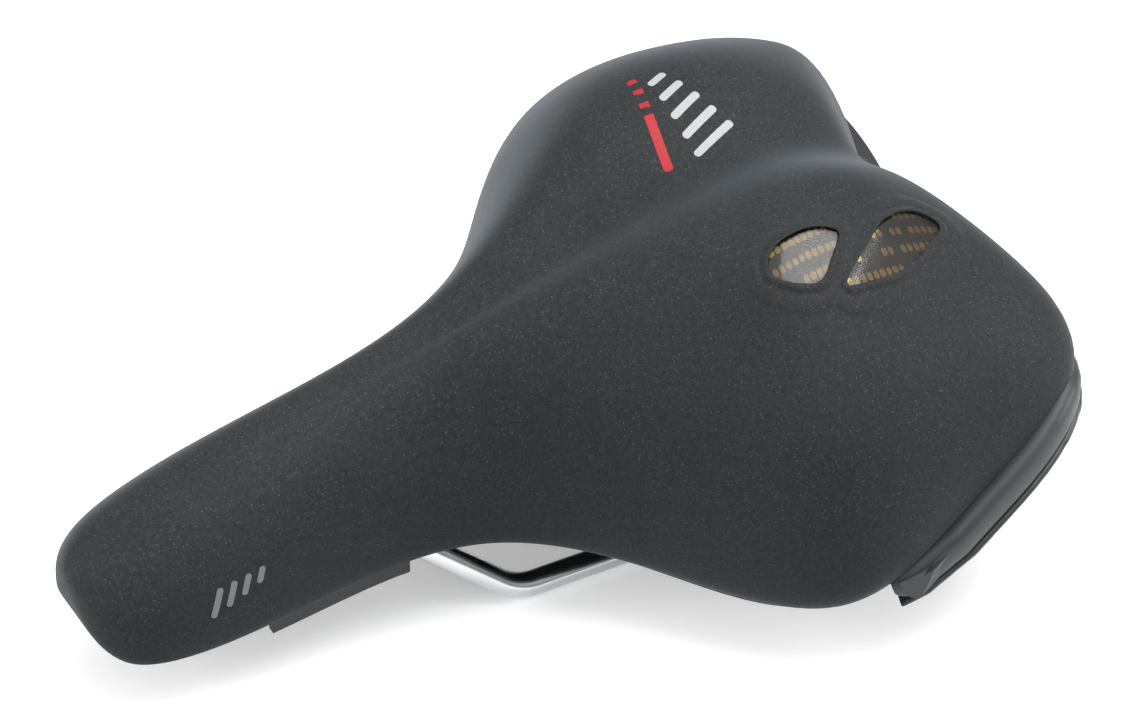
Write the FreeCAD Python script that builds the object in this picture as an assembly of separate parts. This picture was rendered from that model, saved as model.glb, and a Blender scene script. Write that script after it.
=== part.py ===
"""Bicycle saddle with a soft moulded cover, gel pads and rear elastomers on a bent wire rail.

Frame: +Z up, nose towards -Y, rider's left is +X. The origin is the middle of the straight
clamp sections of the rails, on the plane of their axes. All sizes are millimetres.
"""
import FreeCAD, Part
import math
import os

os.makedirs("parts", exist_ok=True)
V = FreeCAD.Vector

# ---- rails ----
RAIL_R = 3.5            # 7 mm wire, the standard saddle rail
RAIL_HALF_GAP = 22.0    # 44 mm between rail axes in the clamp
CROSS_Y, CROSS_Z = -94.0, 32.0      # the wire's cross part, held in the nose
CROSS_HALF = 11.0
CROSS_ROOM, NECK_ROOM = 4.8, 5.6            # radii of the room cut round the wire in the nose
CROSS_BEND = 8.0        # radius of the bends beside the cross part
RAIL_BEND = 15.0        # radius of the other bends
RUN_CLEAR = 0.06        # radial running clearance of the nose bush
NECK_Y, NECK_Z, NECK_X = -60.0, 25.0, 11.5      # where the wire turns down out of the nose
CLAMP_HALF = 28.0       # the straight clamp section runs this far each way, with its bends

# ---- seat shell ----
NOSE_Y = -142.0         # the station table's y = 0
SEAT_Z = 77.0           # the station table's z = 0, above the rail axes
NOTCH = 27.0            # how far the tail's corners stand behind its middle
SKIN = 1.2              # cover thickness
FIT = 0.15              # gap between bonded layers
BASE_WALL = 2.6
EDGE_UP = 2.6           # height of the cover's cut edge over the form's underside
LIP = 1.9               # thickness of the base's edge lip below the cover
DEEPEN = 16.0           # how far the hidden parts' forms run on below the seat's form

# One row per station from nose to tail: y, half width, middle height, then the rises of the
# channel's crest, the shoulder and the outer side over the middle, the depth of the form,
# and the foam's thickness over the base.
STATIONS = [
    (-3.0, 19.0, -37.0, 1.0, -3.0, -11.0, 26.0, 8.0),
    (18.0, 26.5, -28.0, 1.0, -3.0, -12.0, 37.0, 11.0),
    (58.0, 24.0, -17.0, 2.0, -3.0, -14.0, 43.0, 13.0),
    (104.0, 22.0, -7.0, 5.0, -3.0, -18.0, 49.0, 16.0),
    (138.0, 53.0, 3.0, 14.0, 0.0, -23.0, 64.0, 20.0),
    (170.0, 106.0, 12.0, 23.0, 6.0, -25.0, 79.0, 25.0),
    (204.0, 91.0, 16.0, 21.0, 9.0, -21.0, 62.0, 26.0),
    (232.0, 86.0, 11.0, 13.0, 8.0, -13.0, 39.0, 22.0),
    (245.0, 63.0, 4.0, 6.0, 5.0, -4.0, 22.0, 14.0),
]
NOSE_TIP_Z, TAIL_TIP_Z = -44.0, -11.0
SECTION = (0.27, 0.60, 0.92, 1.0, 0.98, 0.60)   # control points across half the width
NOTCH_ROWS = {6: 0.4, 7: 1.0, 8: 1.0}           # share of the notch in the last rows

# ---- windows over the gel, in plan ----
FRONT_WINDOW = [(46.0, 52.0), (43.5, 46.0), (43.3, 40.0), (44.8, 34.0), (48.0, 31.5),
                (52.0, 34.0), (55.0, 38.5), (55.8, 42.5), (53.5, 46.0), (49.5, 50.5)]
REAR_WINDOW = [(58.4, 48.5), (55.5, 52.5), (51.0, 59.5), (46.8, 65.5), (44.8, 71.0),
               (45.2, 79.0), (48.2, 81.8), (52.5, 77.5), (57.2, 70.0), (59.4, 62.0), (59.6, 53.0)]
GEL_X, GEL_Y, GEL_HALF_X, GEL_HALF_Y = 51.0, 57.0, 21.0, 34.0
FILM_HALF_X, FILM_HALF_Y = 12.0, 30.0
WINDOW_LOW = 62.0       # the windows' and gel pads' cutting prisms stand on this height
GEL_DEPTH = 9.0

# ---- rear suspension ----
SHOE_X, SHOE_Y, SHOE_Z = 53.0, 74.0, 21.0       # middle of each rear shoe, on the rail's axis
SHOE_LEN, SHOE_WIDE, SHOE_TALL = 34.0, 21.0, 15.0
SPLAY = 22.0                                    # degrees the rail ends turn outwards
RAIL_STOP, BOLT_AT = -2.0, 5.0                  # along the shoe, from its middle
ELASTOMER_R, ELASTOMER_H = 10.0, 16.0
BOLT_R, BOLT_HOLE_R, BOLT_HEAD_R, BOLT_HEAD_H = 3.0, 4.4, 5.0, 3.4
WASHER_R, WASHER_T = 7.0, 1.2
INSERT_R, INSERT_H = 4.5, 9.0
BOSS_R = 10.5
BOSS_LOW = SHOE_Z + SHOE_TALL / 2.0 + ELASTOMER_H
GRUB_R = 2.0

# ---- ribs under the base's roof ----
RIB_T, RIB_DEPTH, RIB_LOW = 2.0, 6.0, 36.0
RIBS_ACROSS = (-20.0, 2.0, 24.0, 46.0)
RIBS_ALONG = (-34.0, -12.0, 10.0, 32.0)
SKIRT_Y = (-97.0, -57.0)        # the skirt below the nose, where the wire comes out
SKIRT_DROP = 4.5

# ---- nose socket ----
BUSH_HALF, BUSH_R = 4.6, 6.6
CLIP_WALL = 3.2
CLIP_EAR = 8.0
SCREW_R, SCREW_HEAD_R, SCREW_HEAD_H = 1.6, 2.9, 1.8

# ---- rear bumper ----
BUMPER_FRONT_Y, BUMPER_FRONT_Z, BUMPER_NOSE_R = 51.0, 27.5, 7.5
BUMPER_OUT = 5.2
BUMPER_EDGE = 1.4       # the bead's top corner is stepped in by this much
BUMPER_TOP, BUMPER_LOW, STRIP_LOW = 7.4, -0.5, -2.9     # heights about the form's underside
BUMPER_TAIL_TOP = 1.2   # the bead's top falls to this at the tail's middle
BUMPER_TUCK = 4.6       # how far the bead's outer face is drawn in at the tail
TAPER_X, TAPER_Y, TAPER_TURN = 95.8, 43.0, 15.0     # cuts the ends' outer faces down, in degrees
FLANGE_OUT = -1.3       # the flange ends just inside the strip
SHOE_ROOM = 3.2         # the flange's openings stand this far off the shoes
FLANGE_TOP, FLANGE_T = EDGE_UP - LIP - 0.3, 2.2
BUMPER_SCREWS = [(75.0, 67.0), (33.0, 88.0), (16.5, 78.0)]
CLIP_SCREW_LEN, BUMPER_SCREW_LEN = 9.0, 11.0
SCREW_PAD_R, SCREW_PAD_H = 4.2, 2.4         # flat pads for the heads under the sloping flange
POST_R = 3.6

FAR = 400.0             # cutting solids are this large


def mirror(shape):
    return shape.mirror(V(0, 0, 0), V(1, 0, 0))


def save(name, *shapes):
    """Write one node, checked for closed and valid solids."""
    found = []
    for shape in shapes:
        found += shape.Solids
    for solid in found:
        if not solid.isValid() or solid.Volume <= 0:
            raise ValueError(name + " has a bad solid")
    whole = found[0] if len(found) == 1 else Part.makeCompound(found)
    whole.exportStep("parts/" + name + ".step")
    print(name, len(found), round(sum(solid.Volume for solid in found) / 1000.0, 2), "cm3")


def biggest(shape):
    """The largest solid of a cut, without the crumbs beside it."""
    return max(shape.Solids, key=lambda solid: solid.Volume)


# ---- the seat's form ----

def notch_shift(index, part):
    return NOTCH * NOTCH_ROWS.get(index, 0.0) * (min(part, 1.0) ** 2 - 0.4)


def station_row(index, base, deepen):
    """Control points round one closed section, with its seam in the middle of the underside."""
    y, wide, mid, crest, shoulder, side, depth, foam = STATIONS[index]
    heights = [0.0, crest, shoulder, side, 0.45 * side - 0.55 * depth, -depth, -depth, -depth]
    if base:
        wide = 0.9 * wide - 2.6
        y += 7.0 * (1.0 - index / 4.0)
        heights = [h - foam for h in heights[:4]] + [heights[4] - 0.3 * foam] + heights[5:]
    for low in (5, 6, 7):
        heights[low] -= deepen
    row = []
    for part, height in zip((0.0,) + SECTION + (0.0,), heights):
        back = notch_shift(index, part)
        row.append(V(part * wide, NOSE_Y + y + back, SEAT_Z + mid + height))
    whole = row + [V(-p.x, p.y, p.z) for p in row[-2:0:-1]]
    return whole[6:] + whole[:6]


def form_net(base=False, deepen=0.0):
    """All rows of control points, with the ends drawn together at the nose and the tail."""
    rows = [station_row(index, base, deepen) for index in range(len(STATIONS))]
    nose = V(0, rows[0][0].y, SEAT_Z + NOSE_TIP_Z)
    tail = V(0, rows[-1][0].y, SEAT_Z + TAIL_TIP_Z - (8.0 if base else 0.0))
    columns = len(rows[0])
    return [[nose] * columns] + rows + [[tail] * columns]


def uniform(count, closed):
    """Multiplicities and knots of a uniform cubic with this many control points."""
    if closed:
        return [1] * (count + 1), [float(k) for k in range(count + 1)]
    spans = count - 3
    return [4] + [1] * (spans - 1) + [4], [float(k) for k in range(spans + 1)]


def net_surface(net, closed=True):
    """Cubic surface over a net, from nose to tail and across or round each section."""
    along, along_knots = uniform(len(net), False)
    around, around_knots = uniform(len(net[0]), closed)
    surface = Part.BSplineSurface()
    surface.buildFromPolesMultsKnots(
        net, along, around, along_knots, around_knots, False, closed, 3, 3)
    return surface


def offset_net(net, distance):
    """Move every control point along the surface normal over it, outwards for distance > 0."""
    surface = net_surface(net)
    spans = len(net) - 3
    columns = len(net[0])
    knots = [0.0] * 3 + [float(k) for k in range(spans + 1)] + [float(spans)] * 3
    moved = []
    for i, row in enumerate(net):
        along = sum(knots[i + 1:i + 4]) / 3.0
        if i == 0 or i == len(net) - 1:
            normal = V(0, -1 if i == 0 else 1, 0)
            moved.append([pole + normal * distance for pole in row])
            continue
        out = []
        for j, pole in enumerate(row):
            inward = surface.normal(along, float((j - 1) % columns))
            out.append(pole - inward * distance)
        moved.append(out)
    return moved


def net_solid(net):
    return Part.Solid(Part.Shell([net_surface(net).toShape()]))


def form(distance, base=False, deepen=0.0):
    """The seat's form, grown or shrunk by a distance."""
    net = form_net(base, deepen)
    return net_solid(offset_net(net, distance) if distance else net)


def edge_block(up, tail_up=None):
    """Everything under the form's underside, raised by up, or by tail_up at the last station."""
    rows = []
    parts = (0.0, 0.6, 1.0)
    for index, station in enumerate(STATIONS):
        last = index == len(STATIONS) - 1
        rise = tail_up if last and tail_up is not None else up
        y, wide, z = NOSE_Y + station[0], station[1], SEAT_Z + station[2] - station[6] + rise
        half = [V(part * wide, y + notch_shift(index, part), z) for part in parts]
        half.append(V(150.0, y + notch_shift(index, 1.0), z))
        rows.append([V(-p.x, p.y, p.z) for p in half[:0:-1]] + half)
    ahead = [V(p.x, p.y - 30.0, p.z) for p in rows[0]]
    behind = [V(p.x, p.y + 60.0, p.z + 10.0) for p in rows[-1]]
    top = net_surface([ahead] + rows + [behind], closed=False).toShape()
    return top.extrude(V(0, 0, -FAR))


def inset(points, distance):
    """Move each point of a closed outline inwards, square to the line between its neighbours."""
    middle = sum(points, V(0, 0, 0)) / len(points)
    moved = []
    for before, point, after in zip(points[-1:] + points[:-1], points, points[1:] + points[:1]):
        side = (after - before).cross(V(0, 0, 1)).normalize()
        if side.dot(point - middle) > 0:
            side = -side
        moved.append(point + side * distance)
    return moved


def plan_prism(outline, gap=0.0):
    """Upright prism over a closed smooth outline in plan, from well inside the padding."""
    points = [V(x, y, WINDOW_LOW) for x, y in outline]
    curve = Part.BSplineCurve()
    curve.interpolate(inset(points, gap) if gap else points, True)
    return Part.Face(Part.Wire([curve.toShape()])).extrude(V(0, 0, 90.0))


def oval_prism(x, y, half_x, half_y):
    oval = Part.Ellipse(V(0, 0, 0), half_y, half_x).toShape()
    oval.rotate(V(0, 0, 0), V(0, 0, 1), 90)
    oval.translate(V(x, y, WINDOW_LOW))
    return Part.Face(Part.Wire([oval])).extrude(V(0, 0, 90.0))


def box(x0, x1, y0, y1, z0, z1):
    return Part.makeBox(x1 - x0, y1 - y0, z1 - z0, V(x0, y0, z0))


def rod(radius, start, end):
    """Cylinder between two points."""
    axis = end - start
    return Part.makeCylinder(radius, axis.Length, start, axis)


# ---- cover, windows, padding ----

def make_cover(edge):
    windows = plan_prism(FRONT_WINDOW).fuse(plan_prism(REAR_WINDOW))
    skin = form(0.0).cut(form(-SKIN)).cut(edge)
    return biggest(skin.cut(windows))


def make_windows():
    slab = form(-FIT).cut(form(-SKIN + 0.3))
    panes = []
    for outline in (FRONT_WINDOW, REAR_WINDOW):
        panes.append(biggest(slab.common(plan_prism(outline, 0.3))))
    return panes


def make_film():
    slab = form(-SKIN - FIT).cut(form(-SKIN - FIT - 0.25))
    return biggest(slab.common(oval_prism(GEL_X, GEL_Y, FILM_HALF_X, FILM_HALF_Y)))


def make_gel():
    slab = form(-SKIN - 0.6).cut(form(-SKIN - GEL_DEPTH))
    return biggest(slab.common(oval_prism(GEL_X, GEL_Y, GEL_HALF_X, GEL_HALF_Y)))


def make_foam(edge, base_form):
    foam = form(-SKIN - FIT).cut(base_form).cut(edge)
    under = form(-SKIN - GEL_DEPTH - FIT)
    for side in (1, -1):
        pocket = oval_prism(side * GEL_X, GEL_Y, GEL_HALF_X + FIT, GEL_HALF_Y + FIT)
        foam = foam.cut(pocket.cut(under))
    return foam


# ---- base ----

def bolt_place(side):
    angle = math.radians(SPLAY)
    return V(side * (SHOE_X + BOLT_AT * math.sin(angle)), SHOE_Y + BOLT_AT * math.cos(angle), 0)


def base_fillers():
    """What stands in the base's hollow: ribs of even depth, bosses, socket block and posts."""
    under = form(-BASE_WALL - RIB_DEPTH, True, DEEPEN)
    plates = [box(-95, 95, y, y + RIB_T, RIB_LOW, 150) for y in RIBS_ACROSS]
    plates += [box(x, x + RIB_T, -22, 76, RIB_LOW, 150) for x in RIBS_ALONG]
    fillers = [plate.cut(under) for plate in plates]
    fillers.append(box(-BUSH_HALF, BUSH_HALF, CROSS_Y - CLIP_EAR - BUSH_R,
                       CROSS_Y + CLIP_EAR + BUSH_R, CROSS_Z + 0.3, FAR))
    for side in (1, -1):
        place = bolt_place(side)
        fillers.append(Part.makeCylinder(BOSS_R, 99.0, V(place.x, place.y, BOSS_LOW)))
        for x, y in BUMPER_SCREWS:
            fillers.append(Part.makeCylinder(POST_R, 99.0, V(side * x, y, 0)))
    return fillers


def make_base(relief):
    edge = edge_block(EDGE_UP - 0.1)
    lower = edge_block(EDGE_UP - 0.1 - LIP)
    hollow = form(-BASE_WALL, True, DEEPEN)
    for filler in base_fillers():
        hollow = hollow.cut(filler)
    wall = form(0.0, True, DEEPEN).cut(hollow).cut(lower.cut(box(-30, 30, *SKIRT_Y, -FAR, FAR)))
    wall = biggest(wall.cut(edge_block(-SKIRT_DROP)))
    rim = form(-0.4).common(edge).cut(lower).cut(form(-1.2, True, DEEPEN))
    base = wall.fuse(rim)
    cuts = [relief, rod(BUSH_R + 0.05, V(-20, CROSS_Y, CROSS_Z), V(20, CROSS_Y, CROSS_Z))]
    for side in (1, -1):
        place = bolt_place(side)
        cuts.append(Part.makeCylinder(INSERT_R, INSERT_H, V(place.x, place.y, BOSS_LOW)))
        cuts.append(Part.makeCylinder(BOLT_R + 0.2, 14.0, V(place.x, place.y, BOSS_LOW)))
        for x, y in BUMPER_SCREWS:
            cuts.append(Part.makeCylinder(SCREW_R, 30.0, V(side * x, y, screw_foot(x, y))))
        ear_y = CROSS_Y + side * (BUSH_R + CLIP_EAR / 2.0)
        cuts.append(Part.makeCylinder(SCREW_R, 12.0, V(0, ear_y, CROSS_Z)))
    for cut in cuts:
        base = base.cut(cut)
    return biggest(base)


# ---- nose socket ----

def make_bush():
    start, end = V(-BUSH_HALF, CROSS_Y, CROSS_Z), V(BUSH_HALF, CROSS_Y, CROSS_Z)
    return rod(BUSH_R, start, end).cut(rod(RAIL_R + RUN_CLEAR, start, end))


def make_clip():
    """Strap under the bush with an ear in front and behind."""
    start, end = V(-BUSH_HALF, CROSS_Y, CROSS_Z), V(BUSH_HALF, CROSS_Y, CROSS_Z)
    strap = rod(BUSH_R + CLIP_WALL, start, end)
    ears = box(-BUSH_HALF, BUSH_HALF, CROSS_Y - BUSH_R - CLIP_EAR, CROSS_Y + BUSH_R + CLIP_EAR,
               CROSS_Z - CLIP_WALL, CROSS_Z)
    clip = strap.fuse(ears).common(box(-20, 20, -FAR, FAR, -FAR, CROSS_Z))
    clip = clip.cut(rod(BUSH_R + 0.05, start + V(-5, 0, 0), end + V(5, 0, 0)))
    for side in (1, -1):
        ear_y = CROSS_Y + side * (BUSH_R + CLIP_EAR / 2.0)
        clip = clip.cut(Part.makeCylinder(SCREW_R + 0.1, 20.0, V(0, ear_y, CROSS_Z - 10.0)))
        seat = V(0, ear_y, CROSS_Z - CLIP_WALL - 10.0)
        clip = clip.cut(Part.makeCylinder(SCREW_HEAD_R + 0.15, 10.0, seat))
    return clip.removeSplitter()


def screw(place, length, radius=SCREW_R, head_r=SCREW_HEAD_R, head_h=SCREW_HEAD_H):
    """Button-head screw standing up from place, its head below, with a hexagon socket."""
    shank = Part.makeCylinder(radius, length, place)
    head = Part.makeCylinder(head_r, head_h, place - V(0, 0, head_h))
    head = head.makeFillet(0.35 * head_h, [head.Edges[2]])
    socket_r = 0.55 * head_r
    corners = [V(socket_r * math.cos(math.radians(60 * k)), socket_r * math.sin(math.radians(60 * k)), 0)
               for k in range(7)]
    socket = Part.Face(Part.makePolygon(corners)).extrude(V(0, 0, 0.5 * head_h))
    socket.translate(place - V(0, 0, head_h))
    return shank.fuse(head).cut(socket).removeSplitter()


def make_clip_screws():
    screws = []
    for side in (1, -1):
        ear_y = CROSS_Y + side * (BUSH_R + CLIP_EAR / 2.0)
        screws.append(screw(V(0, ear_y, CROSS_Z - CLIP_WALL), CLIP_SCREW_LEN, SCREW_R - 0.1))
    return screws


# ---- rail ----

def rail_points():
    """Corners of the wire's centre line on the left side, from the nose to the rear end."""
    angle = math.radians(SPLAY)
    ahead = V(math.sin(angle), math.cos(angle), 0)
    middle = V(SHOE_X, SHOE_Y, SHOE_Z)
    return [V(CROSS_HALF, CROSS_Y, CROSS_Z), V(NECK_X, NECK_Y, NECK_Z),
            V(RAIL_HALF_GAP, -CLAMP_HALF, 0), V(RAIL_HALF_GAP, CLAMP_HALF, 0),
            middle - ahead * 19.0, middle + ahead * RAIL_STOP]


def bent_wire(points, radii):
    """Wire of straight runs joined by tangent arcs; radii belong to the inner points."""
    edges = []
    start = points[0]
    for before, corner, after, radius in zip(points, points[1:], points[2:], radii):
        back = (before - corner).normalize()
        on = (after - corner).normalize()
        half = back.getAngle(on) / 2.0
        reach = radius / math.tan(half)
        first, last = corner + back * reach, corner + on * reach
        centre = corner + (back + on).normalize() * (radius / math.sin(half))
        middle = centre + (corner - centre).normalize() * radius
        edges.append(Part.makeLine(start, first))
        edges.append(Part.Arc(first, middle, last).toShape())
        start = last
    edges.append(Part.makeLine(start, points[-1]))
    return Part.Wire(edges)


def make_rail():
    left = rail_points()
    points = [V(-p.x, p.y, p.z) for p in left[::-1]] + left
    bends = [RAIL_BEND] * 4 + [CROSS_BEND]
    path = bent_wire(points, bends + bends[::-1])
    along = (points[1] - points[0]).normalize()
    section = Part.Wire([Part.makeCircle(RAIL_R, points[0], along)])
    rail = path.makePipeShell([section], True, False)
    return rail


def neck_relief():
    """Room for the wire where it leaves the nose, with space for the seat's movement."""
    points = rail_points()
    pieces = []
    for side in (1, -1):
        cross, neck, clamp = [V(side * p.x, p.y, p.z) for p in points[:3]]
        pieces.append(rod(CROSS_ROOM, cross, neck))
        pieces.append(rod(NECK_ROOM, neck, clamp))
        pieces.append(Part.makeSphere(NECK_ROOM, neck))
    return Part.makeCompound(pieces)


# ---- rear suspension ----

def shoe_frame(shape, side=1):
    """Turn a shape drawn along +Y about the origin into the left shoe's place."""
    shape.rotate(V(0, 0, 0), V(0, 0, 1), -SPLAY)
    shape.translate(V(SHOE_X, SHOE_Y, SHOE_Z))
    return shape if side > 0 else mirror(shape)


def make_shoe(side):
    half_len, half_wide, half_tall = SHOE_LEN / 2.0, SHOE_WIDE / 2.0, SHOE_TALL / 2.0
    block = box(-half_wide, half_wide, -half_len, half_len, -half_tall, half_tall)
    block = block.makeFillet(4.0, [e for e in block.Edges if abs(e.tangentAt(0).z) > 0.9])
    block = block.makeChamfer(1.0, [e for e in block.Edges if e.BoundBox.ZLength < 0.01])
    cuts = [rod(RAIL_R + 0.05, V(0, -half_len - 1, 0), V(0, RAIL_STOP + 0.3, 0)),
            rod(BOLT_HOLE_R, V(0, BOLT_AT, -30), V(0, BOLT_AT, 30)),
            rod(GRUB_R + 0.05, V(0, -9, -30), V(0, -9, 0))]
    for cut in cuts:
        block = block.cut(cut)
    return shoe_frame(block, side)


def make_grub(side):
    top = -RAIL_R - 0.1
    grub = rod(GRUB_R, V(0, -9, -SHOE_TALL / 2.0 + 0.4), V(0, -9, top))
    grub = grub.cut(rod(1.0, V(0, -9, -SHOE_TALL), V(0, -9, -SHOE_TALL / 2.0 + 1.6)))
    return shoe_frame(grub, side)


def make_elastomer(side):
    """Waisted rubber spring with a hole for the bolt."""
    low, high = SHOE_TALL / 2.0 + 0.05, SHOE_TALL / 2.0 + ELASTOMER_H - 0.05
    mid = (low + high) / 2.0
    outer = Part.Arc(V(ELASTOMER_R, 0, low), V(ELASTOMER_R - 2.2, 0, mid), V(ELASTOMER_R, 0, high))
    hole = BOLT_R + 1.2
    edges = [outer.toShape(), Part.makeLine(V(ELASTOMER_R, 0, high), V(hole, 0, high)),
             Part.makeLine(V(hole, 0, high), V(hole, 0, low)),
             Part.makeLine(V(hole, 0, low), V(ELASTOMER_R, 0, low))]
    turned = Part.Face(Part.Wire(edges)).revolve(V(0, 0, 0), V(0, 0, 1), 360)
    turned.translate(V(0, BOLT_AT, 0))
    return shoe_frame(turned, side)


def make_bolt(side):
    foot = -SHOE_TALL / 2.0 - WASHER_T - 0.1
    length = SHOE_TALL + ELASTOMER_H + WASHER_T + INSERT_H + 2.0
    bolt = screw(V(0, BOLT_AT, foot), length, BOLT_R, BOLT_HEAD_R, BOLT_HEAD_H)
    return shoe_frame(bolt, side)


def make_washer(side):
    low = -SHOE_TALL / 2.0 - WASHER_T - 0.05
    washer = rod(WASHER_R, V(0, BOLT_AT, low), V(0, BOLT_AT, low + WASHER_T))
    washer = washer.cut(rod(BOLT_R + 0.1, V(0, BOLT_AT, low - 1), V(0, BOLT_AT, low + 5)))
    return shoe_frame(washer, side)


def make_insert(side):
    low = SHOE_TALL / 2.0 + ELASTOMER_H + 0.2
    insert = rod(INSERT_R - 0.02, V(0, BOLT_AT, low), V(0, BOLT_AT, low + INSERT_H - 0.4))
    insert = insert.cut(rod(BOLT_R + 0.03, V(0, BOLT_AT, low - 1), V(0, BOLT_AT, low + 20)))
    return shoe_frame(insert, side)


# ---- bumper ----

def bumper_zone():
    """Everything behind the bumper's rounded front ends, tapered in towards their tips."""
    disc = rod(BUMPER_NOSE_R, V(-150, BUMPER_FRONT_Y, BUMPER_FRONT_Z),
               V(150, BUMPER_FRONT_Y, BUMPER_FRONT_Z))
    zone = disc.fuse(box(-150, 150, BUMPER_FRONT_Y, 200, -50, 150))
    for side in (1, -1):
        outer = box(0, 60, -80, 80, -90, 190)
        outer.rotate(V(0, 0, 0), V(0, 0, 1), -TAPER_TURN)
        outer.translate(V(TAPER_X, TAPER_Y, 0))
        zone = zone.cut(outer if side > 0 else mirror(outer))
    return zone


def band(outset, inset, top, low, zone):
    """Band round the deepened form between two blocks, its outer face drawn in at the tail.

    Without an inset it is a whole plate.
    """
    outer = form(outset, False, DEEPEN)
    if outset > 0:
        outer.translate(V(0, -BUMPER_TUCK, 0))
        outer = outer.fuse(form(0.4, False, DEEPEN))
    if inset is not None:
        outer = outer.cut(form(inset, False, DEEPEN))
    return outer.common(top).cut(low).common(zone)


def screw_foot(x, y):
    """Height of the bumper flange's underside at a screw."""
    line = Part.makeLine(V(x, y, -100), V(x, y, 200))
    return line.common(edge_block(FLANGE_TOP - FLANGE_T)).BoundBox.ZMax


def shoe_room(side):
    """Opening in the flange over a shoe and over the rail in front of it."""
    half_wide = SHOE_WIDE / 2.0 + SHOE_ROOM
    room = box(-half_wide, half_wide, -45.0, SHOE_LEN / 2.0 + SHOE_ROOM, -30, 60)
    room = room.makeFillet(5.0, [e for e in room.Edges if abs(e.tangentAt(0).z) > 0.9])
    return shoe_frame(room, side)


def make_bumper():
    zone = bumper_zone()
    low = edge_block(BUMPER_LOW)
    bead = band(BUMPER_OUT, -3.0, edge_block(BUMPER_TOP - BUMPER_EDGE, BUMPER_TAIL_TOP), low, zone)
    rim = band(BUMPER_OUT - BUMPER_EDGE, -3.0, edge_block(BUMPER_TOP, BUMPER_TAIL_TOP + 0.8), low, zone)
    bead = bead.fuse(rim).cut(form(0.25))
    flange = band(FLANGE_OUT, None, edge_block(FLANGE_TOP), edge_block(FLANGE_TOP - FLANGE_T),
                  box(-150, 150, BUMPER_FRONT_Y, 200, -50, 150))
    bumper = bead.fuse(flange)
    for side in (1, -1):
        bumper = bumper.cut(shoe_room(side))
        for x, y in BUMPER_SCREWS:
            foot = V(side * x, y, screw_foot(x, y) - SCREW_PAD_H)
            pad = Part.makeCylinder(SCREW_PAD_R, 3.0 * SCREW_PAD_H, foot)
            bumper = bumper.fuse(pad.common(edge_block(FLANGE_TOP - 0.5 * FLANGE_T)))
            hole = Part.makeCylinder(SCREW_R + 0.15, 60.0, V(side * x, y, screw_foot(x, y) - 20.0))
            bumper = bumper.cut(hole)
    return biggest(bumper)


def make_strip():
    return biggest(band(BUMPER_OUT + 0.5, -1.0, edge_block(BUMPER_LOW - 0.1),
                        edge_block(STRIP_LOW), bumper_zone()))


def make_bumper_screws():
    screws = []
    for x, y in BUMPER_SCREWS:
        for side in (1, -1):
            foot = V(side * x, y, screw_foot(x, y) - SCREW_PAD_H - 0.1)
            screws.append(screw(foot, BUMPER_SCREW_LEN, SCREW_R - 0.1))
    return screws


def main():
    edge = edge_block(EDGE_UP)
    relief = neck_relief()
    save("rail_wire", make_rail())
    save("nose_bush", make_bush())
    save("nose_clip", make_clip())
    save("nose_clip_screws", *make_clip_screws())
    for side, name in ((1, "left"), (-1, "right")):
        save("rail_shoe_" + name, make_shoe(side))
        save("elastomer_" + name, make_elastomer(side))
        save("elastomer_bolt_" + name, make_bolt(side))
        save("insert_" + name, make_insert(side))
    save("bolt_washers", make_washer(1), make_washer(-1))
    save("shoe_grub_screws", make_grub(1), make_grub(-1))
    save("cover_skin", make_cover(edge))
    for name, pane in zip(("window_front", "window_rear"), make_windows()):
        save(name, pane)
    save("print_film", make_film())
    gel = make_gel()
    save("gel_pad_left", gel)
    save("gel_pad_right", mirror(gel))
    save("foam_pad", make_foam(edge, form(FIT, True, DEEPEN)).cut(relief))
    save("base_shell", make_base(relief))
    save("rear_bumper", make_bumper())
    save("bumper_strip", make_strip())
    save("bumper_screws", *make_bumper_screws())


main()
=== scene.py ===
"""Comfort bicycle saddle: soft-touch cover with gel windows, bent rail and wrap-round bumper.

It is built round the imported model, in that model's frame: metres, +Z up, nose towards -Y,
rider's left towards +X. Shapes worked out from the seat's form are in millimetres until
they become a mesh.
"""
import math

import bmesh
import bpy
import numpy as np
from bpy.props import FloatProperty, FloatVectorProperty, IntProperty, PointerProperty
from mathutils import Matrix, Vector
from mathutils.bvhtree import BVHTree


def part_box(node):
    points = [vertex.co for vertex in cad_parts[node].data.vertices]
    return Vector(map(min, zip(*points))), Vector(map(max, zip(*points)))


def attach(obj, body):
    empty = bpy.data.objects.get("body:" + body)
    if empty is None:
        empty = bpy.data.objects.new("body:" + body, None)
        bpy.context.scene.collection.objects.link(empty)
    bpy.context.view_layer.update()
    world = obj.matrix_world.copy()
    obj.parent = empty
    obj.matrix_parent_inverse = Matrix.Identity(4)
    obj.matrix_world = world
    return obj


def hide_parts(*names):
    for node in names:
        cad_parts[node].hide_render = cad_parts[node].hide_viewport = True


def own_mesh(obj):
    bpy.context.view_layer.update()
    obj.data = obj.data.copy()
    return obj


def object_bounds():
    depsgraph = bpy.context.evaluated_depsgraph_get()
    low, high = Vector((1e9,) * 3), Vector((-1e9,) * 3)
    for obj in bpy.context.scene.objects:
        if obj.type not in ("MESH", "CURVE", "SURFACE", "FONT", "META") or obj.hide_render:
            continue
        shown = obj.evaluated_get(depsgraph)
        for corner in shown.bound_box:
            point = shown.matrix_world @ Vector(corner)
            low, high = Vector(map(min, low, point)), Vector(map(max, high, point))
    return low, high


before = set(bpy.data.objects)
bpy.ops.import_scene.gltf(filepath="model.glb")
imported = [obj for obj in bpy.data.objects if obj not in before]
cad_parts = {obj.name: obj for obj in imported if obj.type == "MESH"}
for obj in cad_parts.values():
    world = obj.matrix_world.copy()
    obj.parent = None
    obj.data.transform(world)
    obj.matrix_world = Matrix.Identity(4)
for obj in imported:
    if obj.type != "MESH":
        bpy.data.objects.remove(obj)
CAD_LOW, CAD_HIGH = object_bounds()

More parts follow.
